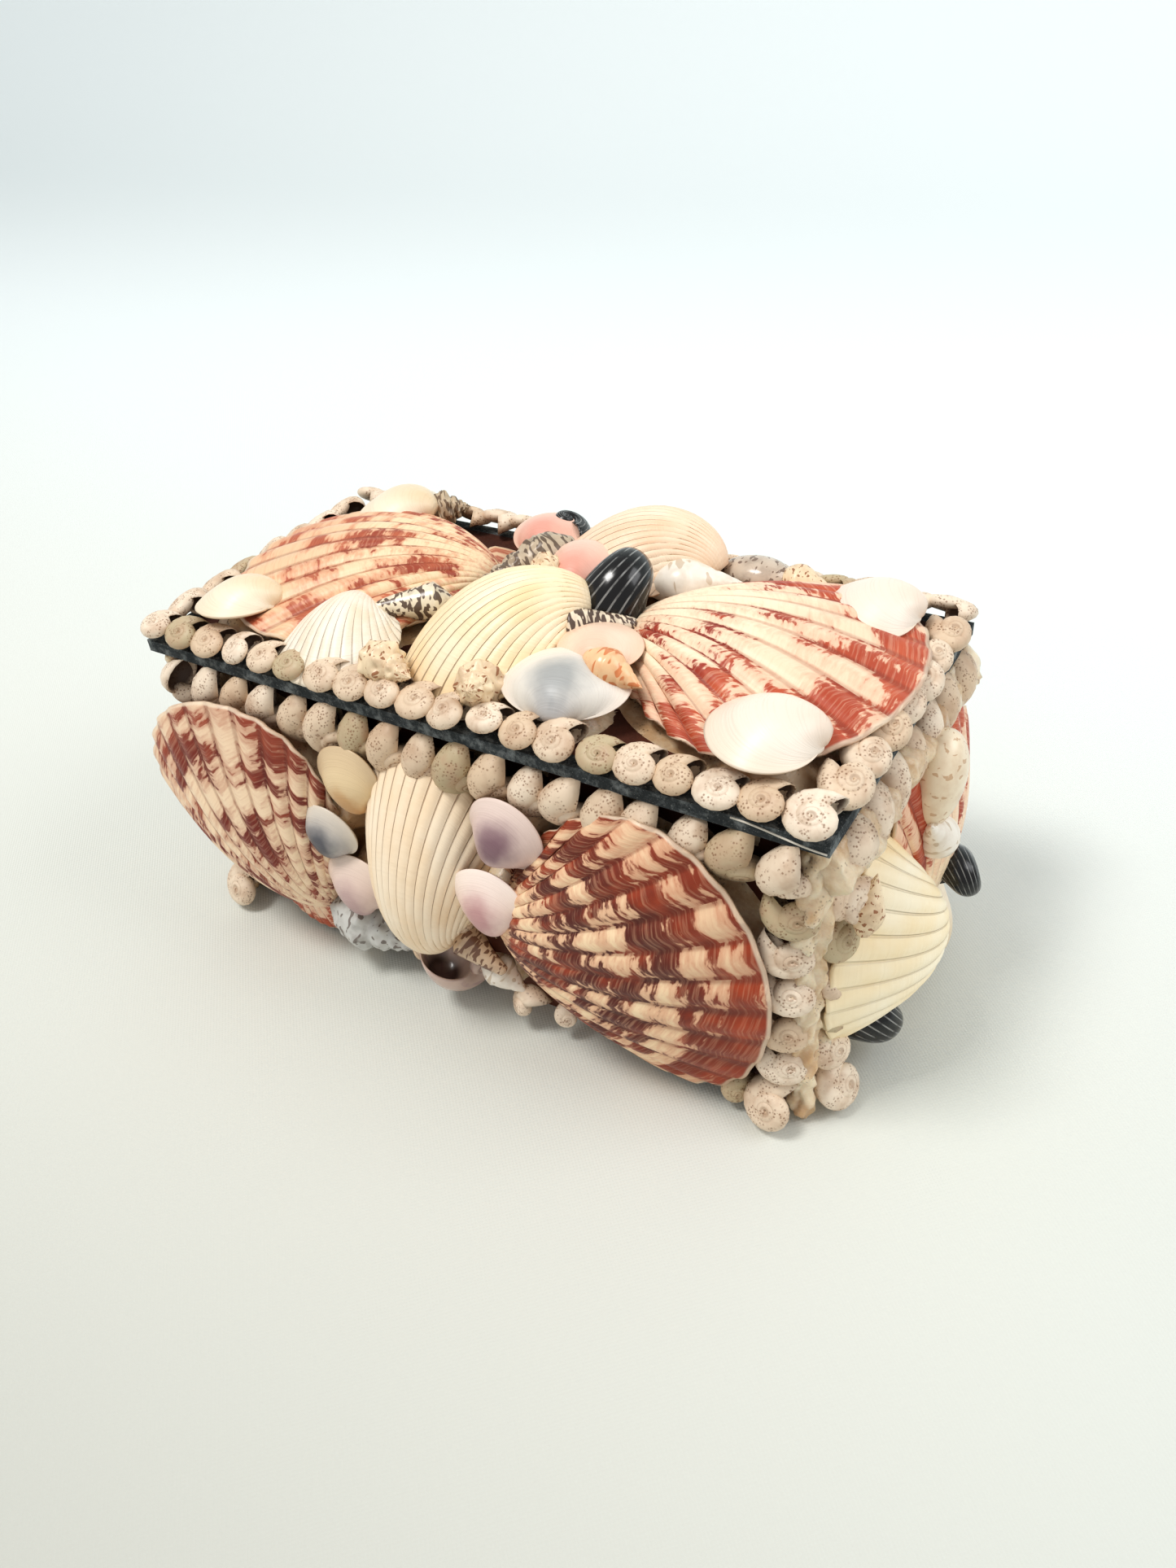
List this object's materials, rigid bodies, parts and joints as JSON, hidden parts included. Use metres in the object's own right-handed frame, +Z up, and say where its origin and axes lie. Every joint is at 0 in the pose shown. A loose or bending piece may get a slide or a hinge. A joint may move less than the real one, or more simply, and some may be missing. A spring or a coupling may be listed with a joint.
{
  "type": "shell box",
  "caption": "Small rectangular keepsake box with a lift-off lid, covered all over with glued scallop, cockle, clam and snail shells.",
  "frame": {"origin": "centre of the flat underside of the box", "axes": "+X along the length of the box to its right-hand end, -Y towards the front, +Z up"},
  "size_m": [0.2309, 0.1351, 0.1217],
  "materials": {
    "black_shell": "polished shell, gloss",
    "blue_grey_shell": "natural shell, satin",
    "board": "stained board, matt",
    "brown_shell": "natural shell, satin",
    "coral_shell": "natural shell, satin",
    "cream_shell": "natural shell, satin",
    "lid_felt": "flocked paper, matt",
    "lilac_shell": "natural shell, satin",
    "maroon_shell": "natural shell, satin",
    "pink_shell": "natural shell, satin",
    "snail_shell": "speckled shell, satin",
    "white_shell": "natural shell, satin"
  },
  "bodies": {
    "root": {"box_carcass": "board", "lid_board": "lid_felt", "lid_snails_front": "snail_shell", "lid_snails_back": "snail_shell", "lid_snails_left": "snail_shell", "lid_snails_right": "snail_shell", "front_snails": "snail_shell", "back_snails": "snail_shell", "right_snails": "snail_shell", "left_snails": "snail_shell", "lid_scallop_left": "coral_shell", "lid_scallop_right": "coral_shell", "lid_cockle_front": "cream_shell", "lid_cockle_back": "cream_shell", "lid_cockle_small": "white_shell", "lid_nerite_centre": "black_shell", "lid_nerite_back": "black_shell", "lid_auger": "brown_shell", "lid_cone_checked": "brown_shell", "lid_cone_zigzag": "maroon_shell", "lid_clam_front_right": "white_shell", "lid_clam_back_right": "white_shell", "lid_clam_left": "cream_shell", "lid_clam_back_left": "cream_shell", "lid_clam_blue": "blue_grey_shell", "lid_clam_peach": "pink_shell", "lid_clam_pink": "pink_shell", "lid_clam_pink_back": "pink_shell", "lid_conch": "white_shell", "lid_cowrie": "brown_shell", "lid_whelk_left": "cream_shell", "lid_whelk_middle": "cream_shell", "lid_cone_orange": "coral_shell", "lid_whelk_back": "cream_shell", "lid_whelk_rough": "brown_shell", "lid_whelk_small": "cream_shell", "front_scallop_left": "maroon_shell", "front_scallop_right": "maroon_shell", "front_whelk_grey": "brown_shell", "front_cockle": "cream_shell", "front_clam_cream": "cream_shell", "front_clam_grey": "blue_grey_shell", "front_clam_lilac": "lilac_shell", "front_clam_purple_upper": "lilac_shell", "front_clam_purple_lower": "lilac_shell", "front_moon_shell": "pink_shell", "front_cone_brown": "brown_shell", "front_whelk_white": "white_shell", "right_cockle": "cream_shell", "right_scallop": "coral_shell", "right_nerite_upper": "black_shell", "right_nerite_lower": "black_shell", "right_clam_pale": "cream_shell", "right_whelk": "white_shell", "right_cowrie": "cream_shell", "left_scallop": "maroon_shell", "left_cockle": "cream_shell", "back_scallop_left": "maroon_shell", "back_scallop_right": "maroon_shell", "back_cockle": "cream_shell"}
  },
  "joints": []
}
